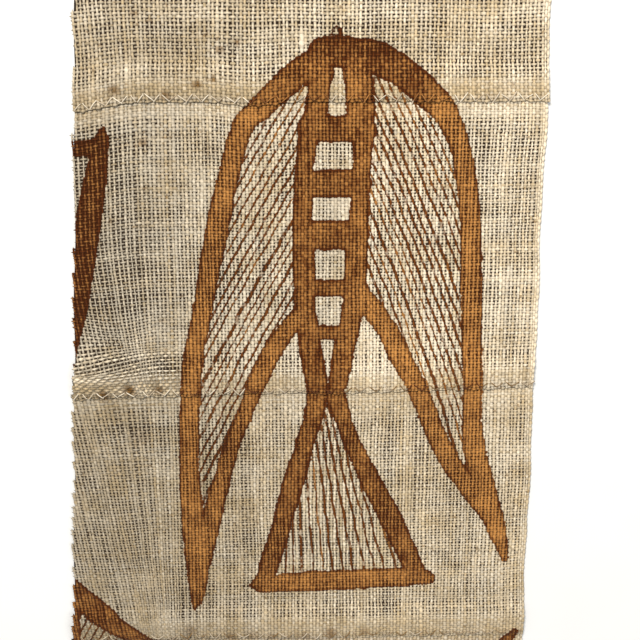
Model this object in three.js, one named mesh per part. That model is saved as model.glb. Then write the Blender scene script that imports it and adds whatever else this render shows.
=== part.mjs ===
// A cut length of hand-woven cotton strip cloth, lying on a flat surface.
// Four strips run along X and lap over each other like tiles: the lower edge of each strip lies on
// the upper edge of the next one. Millimetres, +Z up, +Y towards the top strip. The origin is at
// the centre of the cloth's outline, on the surface that it lies on.

import * as THREE from "three";

// Driving dimensions of the cut length
const CLOTH_LENGTH = 290;
const RIGHT_EDGE = 93.15;
const LEFT_EDGE = -86.05;
const LEFT_SLANT = 0.0535;
const EDGE_WOBBLE = 0.35;

// Sheet thickness, and the air between two sheets that lie on each other
const THICKNESS = 1.0;
const AIR = 0.4;

// How far the lower strip reaches under the upper one, and how the upper one comes down from it
const LAP = 8;
const LAP_REST = 9;
const LAP_FALL = 6;

// Mesh step, about half the narrowest swell's half width
const STEP = 6;

// The seam lines, where each strip's lower edge shows. y is the height of the seam's right end,
// lean is its rise along X, and dip is how far its left end hangs down, over dipSpan. wave is
// how far the seam bows up or sags at waveAt, over waveHalf to each side.
const SEAMS = [
  { y: 94.1, lean: 0.002, dip: 4.1, dipSpan: 33, wave: -1.3, waveAt: -15, waveHalf: 18 },
  { y: -14.3, lean: 0.026, dip: 0.4, dipSpan: 30, wave: -0.5, waveAt: 22, waveHalf: 34 },
  { y: -119.4, lean: 0.018, dip: 0.3, dipSpan: 30, wave: 0.3, waveAt: -20, waveHalf: 40 },
];

// Soft swells where the cloth stands off the surface: centre, half length, half width,
// turn of the long axis from X, and rise.
const SWELLS = [
  { name: "pucker above the second seam", x: -64, y: -6, along: 34, across: 13, turn: 9, rise: 1.9 },
  { name: "loose weave at the left", x: -72, y: 32, along: 48, across: 17, turn: 98, rise: 1.3 },
  { name: "left end of the first seam", x: -74, y: 84, along: 30, across: 12, turn: 12, rise: 1.5 },
  { name: "right end of the first seam", x: 74, y: 91, along: 30, across: 11, turn: -4, rise: 1.1 },
  { name: "slack in the top strip", x: -26, y: 124, along: 40, across: 15, turn: 6, rise: 1.0 },
  { name: "right part of the second seam", x: 52, y: -17, along: 34, across: 12, turn: 3, rise: 1.2 },
  { name: "slack at the lower left", x: -70, y: -70, along: 40, across: 15, turn: 80, rise: 1.2 },
  { name: "right edge of the third strip", x: 80, y: -84, along: 34, across: 13, turn: 88, rise: 1.0 },
  { name: "third seam", x: 4, y: -119, along: 42, across: 11, turn: 2, rise: 1.0 },
];

const COTTON = 0xc7b59e;
const COTTON_ROUGHNESS = 0.95;

const degrees = Math.PI / 180;
const clamp01 = (t) => Math.min(1, Math.max(0, t));
const smooth = (t) => clamp01(t) ** 2 * (3 - 2 * clamp01(t));
const top = CLOTH_LENGTH / 2;
const bottom = -CLOTH_LENGTH / 2;

// The cut and woven edges, a little uneven
function rightEdge(y) {
  return RIGHT_EDGE + EDGE_WOBBLE * Math.sin(y / 11) + 0.5 * EDGE_WOBBLE * Math.sin(y / 4.3 + 1);
}

function leftEdge(y) {
  return LEFT_EDGE + LEFT_SLANT * y + EDGE_WOBBLE * Math.sin(y / 8 + 2);
}

function topCut(x) {
  return top - EDGE_WOBBLE * (1 + Math.sin(x / 9));
}

function bottomCut(x) {
  return bottom + EDGE_WOBBLE * (1 + Math.sin(x / 10 + 1));
}

function seamLine(seam, x) {
  const fromLeft = clamp01((x - LEFT_EDGE) / seam.dipSpan);
  const wave = seam.wave * smooth(1 - Math.abs(x - seam.waveAt) / seam.waveHalf);
  return seam.y + seam.lean * (x - RIGHT_EDGE) - seam.dip * (1 - smooth(fromLeft)) + wave;
}

// How high the cloth's underside stands off the surface, away from the laps
function rest(x, y) {
  let height = 0;
  for (const swell of SWELLS) {
    const c = Math.cos(swell.turn * degrees);
    const s = Math.sin(swell.turn * degrees);
    const u = ((x - swell.x) * c + (y - swell.y) * s) / swell.along;
    const v = ((y - swell.y) * c - (x - swell.x) * s) / swell.across;
    height = Math.max(height, swell.rise * smooth(1 - Math.hypot(u, v)));
  }
  return height;
}

// The lift of a strip where it lies on the next one, at a height above its own lower edge
function lapLift(above) {
  return (THICKNESS + AIR) * (1 - smooth((above - LAP_REST) / LAP_FALL));
}

// A strip's rows, as heights above its lower edge: close together on the lap, then even
function rowHeights(width, laps) {
  const rows = laps ? [0, LAP_REST / 2, LAP_REST] : [0];
  if (laps) {
    for (const share of [1 / 3, 2 / 3, 1]) {
      rows.push(LAP_REST + share * LAP_FALL);
    }
  }
  const start = rows[rows.length - 1];
  const count = Math.max(1, Math.round((width - start) / STEP));
  for (let i = 1; i <= count; i++) {
    rows.push(start + ((width - start) * i) / count);
  }
  return rows;
}

// One strip as a closed sheet between its lower and its upper edge line
function stripGeometry(lowerLine, upperLine, laps) {
  const width = upperLine(0) - lowerLine(0);
  const rows = rowHeights(width, laps);
  const columns = Math.round((RIGHT_EDGE - LEFT_EDGE) / STEP);
  const positions = [];
  const indices = [];
  const across = columns + 1;
  const layer = across * rows.length;

  for (const isTop of [false, true]) {
    for (const above of rows) {
      for (let i = 0; i <= columns; i++) {
        const level = lowerLine(0) + above;
        const x = leftEdge(level) + ((rightEdge(level) - leftEdge(level)) * i) / columns;
        const low = lowerLine(x);
        const y = low + (above / width) * (upperLine(x) - low);
        const lift = laps ? lapLift(y - low) : 0;
        positions.push(x, y, rest(x, y) + lift + (isTop ? THICKNESS : 0));
      }
    }
  }

  const at = (i, j, isTop) => (isTop ? layer : 0) + j * across + i;
  const quad = (a, b, c, d) => indices.push(a, b, c, a, c, d);
  for (let j = 0; j + 1 < rows.length; j++) {
    for (let i = 0; i < columns; i++) {
      quad(at(i, j, true), at(i + 1, j, true), at(i + 1, j + 1, true), at(i, j + 1, true));
      quad(at(i, j, false), at(i, j + 1, false), at(i + 1, j + 1, false), at(i + 1, j, false));
    }
    quad(at(0, j, false), at(0, j, true), at(0, j + 1, true), at(0, j + 1, false));
    quad(at(columns, j, false), at(columns, j + 1, false), at(columns, j + 1, true), at(columns, j, true));
  }
  const last = rows.length - 1;
  for (let i = 0; i < columns; i++) {
    quad(at(i, 0, false), at(i + 1, 0, false), at(i + 1, 0, true), at(i, 0, true));
    quad(at(i, last, false), at(i, last, true), at(i + 1, last, true), at(i + 1, last, false));
  }

  const geometry = new THREE.BufferGeometry();
  geometry.setAttribute("position", new THREE.Float32BufferAttribute(positions, 3));
  geometry.setIndex(indices);
  geometry.computeVertexNormals();
  return geometry;
}

function cottonMaterial() {
  return new THREE.MeshStandardMaterial({ color: COTTON, roughness: COTTON_ROUGHNESS, metalness: 0 });
}

// The strips, from the top one down
function clothGroup() {
  const cloth = new THREE.Group();
  const stripCount = SEAMS.length + 1;
  for (let k = 0; k < stripCount; k++) {
    const isFirst = k === 0;
    const isLast = k === stripCount - 1;
    const lowerLine = isLast ? bottomCut : (x) => seamLine(SEAMS[k], x);
    const upperLine = isFirst ? topCut : (x) => seamLine(SEAMS[k - 1], x) + LAP;
    const strip = new THREE.Mesh(stripGeometry(lowerLine, upperLine, !isLast), cottonMaterial());
    strip.name = `strip_${k + 1}`;
    cloth.add(strip);
  }
  return cloth;
}

export default clothGroup();
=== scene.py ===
"""A cut length of hand-woven cotton strip cloth with a painted bird, lying flat on a pale floor.

Four strips lap over each other and are sewn with a zigzag. Each strip is woven here from its own
hand-spun threads, on a thin sheet that follows the solid's laps and swells and is painted as the
shade seen through the weave's gaps.
"""

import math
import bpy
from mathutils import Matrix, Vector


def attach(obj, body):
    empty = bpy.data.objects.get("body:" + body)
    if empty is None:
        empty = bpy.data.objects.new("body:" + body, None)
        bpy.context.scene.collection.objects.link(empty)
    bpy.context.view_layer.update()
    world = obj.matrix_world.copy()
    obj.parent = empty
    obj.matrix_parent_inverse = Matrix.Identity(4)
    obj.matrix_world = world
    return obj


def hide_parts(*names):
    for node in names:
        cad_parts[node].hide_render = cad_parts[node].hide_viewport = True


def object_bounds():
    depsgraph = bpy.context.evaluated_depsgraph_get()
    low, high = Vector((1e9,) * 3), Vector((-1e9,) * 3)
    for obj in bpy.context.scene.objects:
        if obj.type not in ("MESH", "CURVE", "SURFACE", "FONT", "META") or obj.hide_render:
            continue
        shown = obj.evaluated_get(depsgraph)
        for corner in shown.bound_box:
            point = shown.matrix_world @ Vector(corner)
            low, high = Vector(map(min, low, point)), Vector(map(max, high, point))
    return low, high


bl_info = {
    "name": "Korhogo cloth",
    "version": (1, 0, 0),
    "blender": (4, 5, 0),
    "location": "View3D > Sidebar > Cloth",
    "description": "Weaves, paints and stitches a cut length of cotton strip cloth",
    "category": "Object",
}

import bpy
import numpy as np
from mathutils import Vector

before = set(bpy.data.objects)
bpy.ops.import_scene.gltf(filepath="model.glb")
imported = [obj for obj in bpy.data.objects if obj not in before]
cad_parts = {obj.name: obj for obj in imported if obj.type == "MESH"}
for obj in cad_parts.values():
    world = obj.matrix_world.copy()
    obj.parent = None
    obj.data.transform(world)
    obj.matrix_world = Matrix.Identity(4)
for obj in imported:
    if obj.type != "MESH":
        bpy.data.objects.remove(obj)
CAD_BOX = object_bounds()

MM = 0.001
BODY = "root"


def table(columns, *rows):
    """Rows of values as dicts, with the columns' names as their keys."""
    return [dict(zip(columns.split(), row)) for row in rows]


def stroke(wash, *line):
    """A brush stroke: how dark its dye dried, and its middle line as (x, y, half width)."""
    return {"wash": wash, "line": line}


# The solids' own sizes, in millimetres, repeated from the part's source
HALF_LENGTH = CAD_BOX[1][1] / MM
RIGHT_EDGE = 93.15
LEFT_EDGE = -86.05
LEFT_SLANT = 0.0535
EDGE_WOBBLE = 0.35
THICKNESS = 1.0
AIR = 0.4
LAP = 8
LAP_REST = 9
LAP_FALL = 6

# The seam lines: height of the right end, rise along X, how far the left end hangs down, and how
# far the seam bows up or sags at one place
SEAMS = table(
    "y lean dip span wave wave_at wave_half",
    (94.1, 0.002, 4.1, 33, -1.3, -15, 18),
    (-14.3, 0.026, 0.4, 30, -0.5, 22, 34),
    (-119.4, 0.018, 0.3, 30, 0.3, -20, 40),
)

# Soft swells where the cloth stands off the surface
SWELLS = table(
    "name x y along across turn rise",
    ("pucker above the second seam", -64, -6, 34, 13, 9, 1.9),
    ("loose weave at the left", -72, 32, 48, 17, 98, 1.3),
    ("left end of the first seam", -74, 84, 30, 12, 12, 1.5),
    ("right end of the first seam", 74, 91, 30, 11, -4, 1.1),
    ("slack in the top strip", -26, 124, 40, 15, 6, 1.0),
    ("right part of the second seam", 52, -17, 34, 12, 3, 1.2),
    ("slack at the lower left", -70, -70, 40, 15, 80, 1.2),
    ("right edge of the third strip", 80, -84, 34, 13, 88, 1.0),
    ("third seam", 4, -119, 42, 11, 2, 1.0),
)

# The painted bird and the ends of its neighbours: how dark each brush stroke's dye dried, from 0
# to 1, and the points of its middle line, as (x, y, half width)
STROKES = {
    "head": stroke(
        0.78,
        (9.8, 112.2, 4.3), (14.5, 111.4, 5.4), (21, 110.8, 5.8), (29, 109.2, 6.3),
        (36.5, 106.2, 6.1), (44.2, 100.6, 5.7), (50.4, 95.2, 5.5),
    ),
    "beak": stroke(
        0.9,
        (16.9, 115.4, 1.5), (17.1, 117.5, 0.95), (16.5, 119.2, 0.85), (15.3, 119.8, 0.75),
        (14.3, 118.9, 0.6), (13.9, 117.6, 0.5),
    ),
    "left shoulder": stroke(0.68, (8, 107, 6), (-1, 101.5, 5.2), (-9.5, 93.8, 4.6)),
    "left wing": stroke(
        0.42,
        (-9.5, 93.8, 4.6), (-12, 91.5, 4.5), (-18.9, 84.5, 4.1), (-24.8, 65.5, 4.2),
        (-30.5, 41, 4.4), (-35.4, 16, 3.8), (-40, -7, 4.2), (-42.3, -45, 4), (-41.8, -64, 4.6),
        (-40.4, -84, 5), (-40.2, -95, 4.2), (-40.7, -104, 2.8), (-42, -108.3, 1.0),
    ),
    "left wing's inner stroke": stroke(
        0.5,
        (2, 14, 3.6), (-7.5, 2, 4), (-14.5, -12, 3.8), (-19.3, -24, 3.2), (-26.3, -42, 3.3),
        (-30, -55, 3.7), (-33.5, -68, 4), (-38.5, -88, 4.4),
    ),
    "right wing": stroke(
        0.3,
        (50.4, 95.2, 5.5), (54.5, 91.4, 5), (60.2, 81.5, 3.9), (64, 67.5, 3.9), (66.4, 48, 4.1),
        (67.9, 14, 4.2), (69.2, -17, 3.9), (69.8, -33, 4.3), (72.6, -47, 4.8), (76.3, -61, 4.8),
        (81.3, -75.5, 3.7), (84.5, -86.3, 1.5),
    ),
    "right wing's inner stroke": stroke(
        0.35,
        (23, 25, 4), (34, 10.5, 4.2), (40.2, -1.5, 4.2), (47.1, -14, 4.1), (51.7, -25, 4.1),
        (57.6, -38.5, 4), (63.8, -49, 4), (71, -58.5, 4.2), (77, -67, 3.9),
    ),
    "spine's left rail": stroke(
        0.7,
        (10.8, 104, 4.4), (9.4, 100, 4.4), (8.6, 94.4, 4.6), (7.9, 88.6, 4.5), (4.6, 76, 3.8),
        (3.1, 54, 3.9), (3.4, 33, 4.4), (4.2, 15, 4.3), (6, 0, 4.6), (8.6, -14, 4.6),
    ),
    "spine's right rail": stroke(
        0.6,
        (23, 104, 5.6), (23.9, 100, 5.5), (24.2, 94.4, 5.45), (24.9, 88.6, 5.2), (25.5, 74, 3.6),
        (24.4, 54, 3.9), (23.3, 33, 4.5), (22, 15, 4.2), (18.9, 0, 4.3), (16.6, -13, 4),
    ),
    "bar above the windows": stroke(0.7, (6, 84, 5), (26, 83.8, 5)),
    "bar below the first window": stroke(0.7, (5, 63.9, 5.3), (24, 64, 5.3)),
    "bar below the second window": stroke(0.7, (5, 44.6, 5.7), (23, 44.8, 5.7)),
    "bar below the third window": stroke(0.7, (5, 24.3, 3.4), (22, 24.6, 3.6)),
    "bar below the fourth window": stroke(0.7, (6, 7, 3), (20, 7.1, 3)),
    "tail's left side": stroke(
        0.7,
        (8.4, -18, 4.4), (7.4, -25, 3.9), (3.2, -40, 3.9), (-0.7, -53, 4.5), (-3.4, -63, 4.3),
        (-7.4, -78, 4.1), (-10.6, -88, 4.2), (-13.4, -97, 3.8),
    ),
    "tail's right side": stroke(
        0.65,
        (15.8, -17, 4), (17.2, -23, 3.8), (21.9, -36, 3.5), (29.6, -53, 4.3), (38.3, -70, 4.7),
        (49.6, -94, 4),
    ),
    "tail's base": stroke(
        0.4,
        (-14.4, -98, 3.9), (15, -96.2, 4.6), (50.4, -94.6, 3.8), (53, -96.8, 0.9),
    ),
    "nib at the tail's corner": stroke(0.8, (-15, -98.2, 3), (-18.8, -98.8, 1.1)),
    "neighbour's wing": stroke(
        0.87,
        (-70.4, 83.5, 1.3), (-71.6, 77, 3.3), (-75.4, 60, 4.7), (-79, 42, 4.9), (-83.5, 20, 4.9),
        (-91, -7, 4.8),
    ),
    "neighbour's bar": stroke(0.95, (-92, 76.6, 3.1), (-80, 76.8, 3.1), (-73, 76.8, 3)),
    "lower neighbour's wing": stroke(
        0.75,
        (-92.7, -99.1, 4.6), (-87.2, -104.9, 5), (-80.6, -111.1, 5), (-73.3, -116.5, 4.2),
        (-65.9, -121.7, 3.6), (-57, -128, 3.9), (-47, -137, 4.2), (-40, -150, 4.3),
    ),
    "lower neighbour's other wing": stroke(
        0.75,
        (-94, -101, 4.6), (-93, -110, 4.4), (-92.7, -122, 3.9), (-93.2, -150, 3.9),
    ),
    "next neighbour's wing": stroke(
        0.7,
        (89.6, -118.6, 1.8), (85, -126, 3.4), (78, -137, 4.1), (72, -150, 4.2),
    ),
}

# Where fine brush lines fill the bird: the strokes that bound each field, walked as one loop
FIELDS = {
    "left wing": [("left wing", False), ("left wing's inner stroke", True), ("spine's left rail", True)],
    "right wing": [
        ("head", False), ("right wing", False), ("right wing's inner stroke", True),
        ("spine's right rail", True),
    ],
    "tail": [("tail's left side", False), ("tail's base", False), ("tail's right side", True)],
    "lower neighbour": [("lower neighbour's wing", False)],
}

# The wings' fine lines: slant, as x over y, how it changes with y, and the gap between lines along X
HATCH = {
    "left wing": {"slant": 0.54, "bend": 0.0008, "gap": 3.35},
    "right wing": {"slant": -0.36, "bend": -0.0013, "gap": 3.05},
    "lower neighbour": {"slant": 0.5, "bend": 0.0, "gap": 3.4},
}

# Half the width of a fine line
HATCH_HALF = 0.5

# The tail's fine lines: the one that stands upright, and the gap between lines at its top and base
FAN_LEFT = -2.0
FAN_TOP = {"y": -35, "gap": 2.5}
FAN_BASE = {"y": -93, "gap": 4.2}

# Slubs, where a thread was spun thick and stayed pale: centre, half length, gain in width
SLUBS = table(
    "x y along gain",
    (2.8, 115, 6, 0.9),
    (4.0, 94.5, 5, 0.6),
    (-61, 104, 6, 0.4),
    (47, 62, 5, 0.4),
    (82, 30, 6, 0.35),
    (-14, -70, 7, 0.4),
)

# Places that the brush missed: centre, half sizes
MISSED = table(
    "x y along up",
    (3.7, 97.5, 0.6, 2.4),
)

# Old stains and seed flecks: centre, radius, strength
STAINS = table(
    "x y radius strength",
    (-74.8, -18, 2.5, 1.0),
    (-64.5, -15.8, 2.7, 1.0),
    (-53, -15.6, 2.1, 0.85),
    (-43.5, -118, 2.8, 0.5),
    (-62, -36, 5, 0.25),
    (-30, 76, 4, 0.2),
    (-26.8, 112, 1.5, 1.0),
    (-20.5, 114.5, 1.4, 0.9),
    (-57.5, 124.5, 1.5, 0.8),
    (-35.2, 99.6, 1.8, 1.0),
    (-29.2, 101.6, 1.5, 0.9),
    (-65.5, 97.8, 2.2, 0.8),
    (-47, 95.8, 2.0, 0.8),
    (-56, 79, 1.8, 0.8),
    (-26.7, -121.2, 2.6, 0.55),
    (-18.8, -120.6, 2.4, 0.5),
    (-10.2, -120.6, 2.2, 0.5),
    (3.7, -119.8, 2.2, 0.5),
    (14.1, -118.6, 2.6, 0.7),
    (27.8, -118.2, 2.2, 0.5),
    (51, -119.5, 1.8, 0.5),
)

# Broad patches of painted shade and painted light, darker or lighter than the cotton round them: centre,
# half sizes, change in brightness
PATCHES = table(
    "x y along up change",
    (-45, 115, 38, 8, -0.07),
    (43, 118, 26, 9, -0.08),
    (66, 78, 12, 12, -0.07),
    (-62, 40, 12, 22, -0.06),
    (-24, -82, 13, 28, -0.03),
    (-24, -97, 60, 5, 0.06),
    (82, -105, 16, 14, -0.08),
    (13, 45, 10, 50, -0.14),
)

# The strips, from the top one down: how far below the seam over it a strip's weave stays tight, how
# much further apart its cross threads lie at the left, how tan its cotton is, from 0, cream, to 1,
# how much of its face the long threads gain, and how bright it is at the left, where it is darker,
# and at the right
STRIPS = table(
    "name tight_below left_spread tan long_share left_shade right_shade",
    ("strip_1", 7, 1.0, 0.46, 0.22, 0.715, 0.95),
    ("strip_2", 7, 1.17, 0.28, 0.12, 0.62, 0.97),
    ("strip_3", 13, 1.02, 0.5, 0.09, 0.575, 0.88),
    ("strip_4", 7, 1.02, 0.5, 0.09, 0.53, 0.8),
)

# Each seam's sewing: how far the edge wanders from an even scallop, and how dark the thread is at
# its left and right ends, from dust and from painted shade
SEWING = table(
    "wander soiled_left soiled_right",
    (0.25, 0.2, 0.25),
    (0.6, 0.3, 0.95),
    (0.4, 0.75, 0.8),
)

# The zigzag: its middle above the seam line, where it starts from the cut edge, the length of two
# of its legs, how far it wanders across the seam, and how high it stands over the weave's middle
STITCH_RISE = 1.3
STITCH_START = 1.5
ZIGZAG = 5.9
STITCH_WANDER = 0.25
STITCH_STAND = 0.5
STITCH_STAND_CHANGE = 0.12

# How the weave's middle departs from the solid's: it lies a little higher, the zigzag pulls the
# seam's edge down, most where two legs meet there, the right edge drops, and the cloth is slack
WEAVE_LIFT = 0.06
SEAM_PULL = 0.62
SEAM_PULL_WAVE = 0.2
SEAM_PULL_REACH = 1.2
EDGE_DROP = 0.22
EDGE_DROP_REACH = 0.9
SLACK = 0.1
LOWEST_MIDDLE = 0.65

# How high the cross threads ride over the weave's middle, how low the long threads lie, and how far
# both change places where the long threads cover the cross threads
CROSS_RIDE = 0.06
LONG_RIDE = -0.03
FACED_RIDE = 0.13

# A thread: the sides of its tube, how far its tips sink, how far below the weave's middle its crown
# height starts, which sets its painted shade and light and its wear, and over what height it grows
SIDES = 6
TIP_SINK = 0.12
CROWN_BELOW = 0.12
CROWN_SPAN = 0.58

# How far a thread's tip stands past its last crossing: at a woven edge, under a lap, and cut
WOVEN_END = 0.45
LAPPED_END = 0.4
CUT_END = (0.2, 1.3)

# How deep the zigzag pulls the seam's edge in, and how far in that reaches
SCALLOP = 0.7
SCALLOP_REACH = 1.6

# The thin sheet inside the weave, painted as the shade seen through its gaps: how far inside the
# strip's outline it ends, and how low it lies
GROUND_INSET = 0.45
GROUND_SINK = 0.06

# How much brightness and tint change from thread to thread, from crossing to crossing and broadly
SHADE_CHANGE = {"thread": 0.06, "crossing": 0.09, "faced crossing": 0.12, "broad": 0.05}
TINT_CHANGE = {"thread": 0.16, "crossing": 0.14, "broad": 0.3}

# Each noise adds its own number to this seed
SEED = 11

# Where a strip has no seam, the distance to it counts as this
NO_SEAM = 50.0

# Past this distance from every stroke, in millimetres, there is no dye to work out
FAR = 10.0

# How much of a stroke's edge cuts across a thread, and how much follows the thread's own middle
EDGE_ACROSS_THREAD = 0.55

# How much darker or lighter the dye is from one crossing of the threads to the next
WASH_UNEVENNESS = 0.15

# The camera at the photograph's angle, in millimetres and degrees
CAMERA = {"aim": (9.65, 12.0, 0.9), "tilt": 11.07, "distance": 342, "lens": 50, "sensor": 36}

# The stage, in metres and watts: half the floor's side, the room's light and the lamps
FLOOR_HALF = 3.0
ROOM = {"colour": (0.93, 0.96, 1.0, 1.0), "strength": 0.42}
LAMPS = table(
    "name place size power colour",
    ("key", (-0.30, 0.7, 0.9), 0.35, 14.0, (1.0, 0.965, 0.92)),
    ("fill", (0.9, -0.2, 0.8), 0.8, 3.5, (0.96, 0.98, 1.0)),
)

# Settings that many nodes share: a map range with soft ends, and a mix of two colours
SOFT = {"interpolation_type": "SMOOTHSTEP"}
COLOUR = {"out": 2, "data_type": "RGBA"}


def smooth(t):
    """A soft step from 0 to 1."""
    t = np.clip(t, 0, 1)
    return t * t * (3 - 2 * t)


def bump(value, centre, half):
    """1 at the centre, falling softly to 0 at half away from it."""
    return smooth(1 - np.abs(value - centre) / half)


def oval_distance(place, x, y):
    """The distance from a place's middle, counted in its own half sizes."""
    return np.hypot((x - place["x"]) / place["along"], (y - place["y"]) / place["up"])


def slub_near(slub, x, y):
    """How near each point is to a slub's middle, from 0 to 1."""
    return smooth(1.2 - np.abs(x - slub["x"]) / 1.1) * smooth(1 - np.abs(y - slub["y"]) / slub["along"])


def thread_wise(values, crosswise):
    """One value for each thread, shaped to reach all its crossings."""
    return values[:, None] if crosswise else values[None, :]


def soft_noise(a, b, seed, count=61):
    """Smooth noise of two coordinates, from -1 to 1, the same each run. Its blotches are 1 wide."""
    grid = np.random.RandomState(seed).uniform(-1, 1, (count, count))
    ia, ib = np.floor(a).astype(int), np.floor(b).astype(int)
    fa, fb = smooth(a - ia), smooth(b - ib)
    low = grid[ia % count, ib % count] * (1 - fa) + grid[(ia + 1) % count, ib % count] * fa
    high = grid[ia % count, (ib + 1) % count] * (1 - fa) + grid[(ia + 1) % count, (ib + 1) % count] * fa
    return low * (1 - fb) + high * fb


def linear(value):
    """An sRGB hex value as linear RGBA."""
    channels = [int(value[i : i + 2], 16) / 255 for i in (1, 3, 5)]
    return [c / 12.92 if c <= 0.04045 else ((c + 0.055) / 1.055) ** 2.4 for c in channels] + [1.0]


# The outline of the cloth and of its strips, as in the part's source


def right_edge(y):
    return RIGHT_EDGE + EDGE_WOBBLE * np.sin(y / 11) + 0.5 * EDGE_WOBBLE * np.sin(y / 4.3 + 1)


def left_edge(y):
    return LEFT_EDGE + LEFT_SLANT * y + EDGE_WOBBLE * np.sin(y / 8 + 2)


def top_cut(x):
    return HALF_LENGTH - EDGE_WOBBLE * (1 + np.sin(x / 9))


def bottom_cut(x):
    return -HALF_LENGTH + EDGE_WOBBLE * (1 + np.sin(x / 10 + 1))


def seam_line(seam, x):
    from_left = np.clip((x - LEFT_EDGE) / seam["span"], 0, 1)
    wave = seam["wave"] * bump(x, seam["wave_at"], seam["wave_half"])
    return seam["y"] + seam["lean"] * (x - RIGHT_EDGE) - seam["dip"] * (1 - smooth(from_left)) + wave


def lower_line(k, x):
    """The lower edge of strip k, counted from 0."""
    return bottom_cut(x) if k == len(SEAMS) else seam_line(SEAMS[k], x)


def upper_line(k, x):
    """The upper edge of strip k, which lies under the strip above."""
    return top_cut(x) if k == 0 else seam_line(SEAMS[k - 1], x) + LAP


def above_seam(k, x, y):
    """How far each point lies above the seam at strip k's own lower edge."""
    return y - lower_line(k, x) if k < len(SEAMS) else np.full(x.shape, NO_SEAM)


def below_seam(k, x, y):
    """How far each point lies below the seam over strip k."""
    return upper_line(k, x) - LAP - y if k > 0 else np.full(x.shape, NO_SEAM)


def strip_width(k):
    """Strip k's width in the cloth's middle, with the part that lies under the strip above."""
    middle = np.array([0.0])
    return float((upper_line(k, middle) - lower_line(k, middle))[0])


def rest_height(x, y):
    """How high the cloth's underside stands off the floor, away from the laps."""
    height = np.zeros_like(x)
    for swell in SWELLS:
        turn = math.radians(swell["turn"])
        c, s = math.cos(turn), math.sin(turn)
        u = ((x - swell["x"]) * c + (y - swell["y"]) * s) / swell["along"]
        v = ((y - swell["y"]) * c - (x - swell["x"]) * s) / swell["across"]
        height = np.maximum(height, swell["rise"] * smooth(1 - np.hypot(u, v)))
    return height


def zigzag_turn(k, x):
    """The angle through the zigzag of seam k, 0 where two legs meet at the cloth's edge."""
    start = left_edge(SEAMS[k]["y"]) + STITCH_START
    return 2 * math.pi * (x - start + ZIGZAG / 4) / ZIGZAG


def middle_height(k, x, y):
    """The height of the weave's middle in strip k: the solid's own, with softer edges."""
    height = rest_height(x, y) + THICKNESS / 2 + WEAVE_LIFT
    if k < len(SEAMS):
        above = y - lower_line(k, x)
        height = height + (THICKNESS + AIR) * (1 - smooth((above - LAP_REST) / LAP_FALL))
        pulled = SEAM_PULL + SEAM_PULL_WAVE * np.cos(zigzag_turn(k, x))
        height = height - pulled * np.exp(-np.maximum(above, 0) / SEAM_PULL_REACH)
    slack = SLACK * soft_noise(x / 14 + 9 * k, y / 11, SEED + 1)
    edge = EDGE_DROP * np.exp(-np.maximum(right_edge(y) - x, 0) / EDGE_DROP_REACH)
    return np.maximum(height + slack - edge, LOWEST_MIDDLE)


# The brush strokes


def stroke_samples(name, per_span=6):
    """A stroke's middle line and half widths, smoothed through its points."""
    points = np.array(STROKES[name]["line"], float)
    ends = np.vstack([2 * points[0] - points[1], points, 2 * points[-1] - points[-2]])
    rows = []
    for p0, p1, p2, p3 in zip(ends[:-3], ends[1:-2], ends[2:-1], ends[3:]):
        slope = p2 - p0
        bend = 2 * p0 - 5 * p1 + 4 * p2 - p3
        twist = 3 * p1 - p0 - 3 * p2 + p3
        for t in np.linspace(0, 1, per_span, endpoint=False):
            rows.append(0.5 * (2 * p1 + slope * t + bend * t**2 + twist * t**3))
    rows.append(points[-1])
    return np.array(rows)


def stroke_depth(samples, x, y):
    """How far each point lies inside a stroke, in millimetres, negative outside it."""
    depth = np.full(x.shape, -50.0)
    for a, b in zip(samples[:-1], samples[1:]):
        along = b[:2] - a[:2]
        t = np.clip(((x - a[0]) * along[0] + (y - a[1]) * along[1]) / max(along @ along, 1e-9), 0, 1)
        away = np.hypot(x - a[0] - t * along[0], y - a[1] - t * along[1])
        depth = np.maximum(depth, a[2] + t * (b[2] - a[2]) - away)
    return depth


def dye_fields(x, y):
    """The depth inside the nearest stroke and how dark its wash is, at each point."""
    depth = np.full(x.shape, -FAR)
    weight = np.full(x.shape, 1e-9)
    wash = np.full(x.shape, 0.5e-9)
    for name in STROKES:
        samples = stroke_samples(name)
        low, high = samples[:, :2].min(axis=0) - FAR, samples[:, :2].max(axis=0) + FAR
        near = (x > low[0]) & (x < high[0]) & (y > low[1]) & (y < high[1])
        one = stroke_depth(samples, x[near], y[near])
        depth[near] = np.maximum(depth[near], one)
        share = np.exp(np.clip(one, -FAR, 6) / 1.2)
        weight[near] += share
        wash[near] += share * STROKES[name]["wash"]
    for place in MISSED:
        depth = depth - 6 * smooth(1.4 - oval_distance(place, x, y))
    return depth, wash / weight


def field_loop(name):
    """The outline of a hatched field, walked along the middle lines of its strokes."""
    parts = []
    for side, backwards in FIELDS[name]:
        line = stroke_samples(side, 3)[:, :2]
        parts.append(line[::-1] if backwards else line)
    if name == "lower neighbour":
        parts.append(np.array([(-110.0, -150.0), (-110.0, -96.0)]))
    return np.vstack(parts)


def inside_loop(loop, x, y):
    """Whether each point lies inside the closed loop."""
    inside = np.zeros(x.shape, bool)
    for (ax, ay), (bx, by) in zip(loop, np.roll(loop, -1, axis=0)):
        if ay == by:
            continue
        crosses = (ay > y) != (by > y)
        inside ^= crosses & (x < (bx - ax) * (y - ay) / (by - ay) + ax)
    return inside


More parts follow.
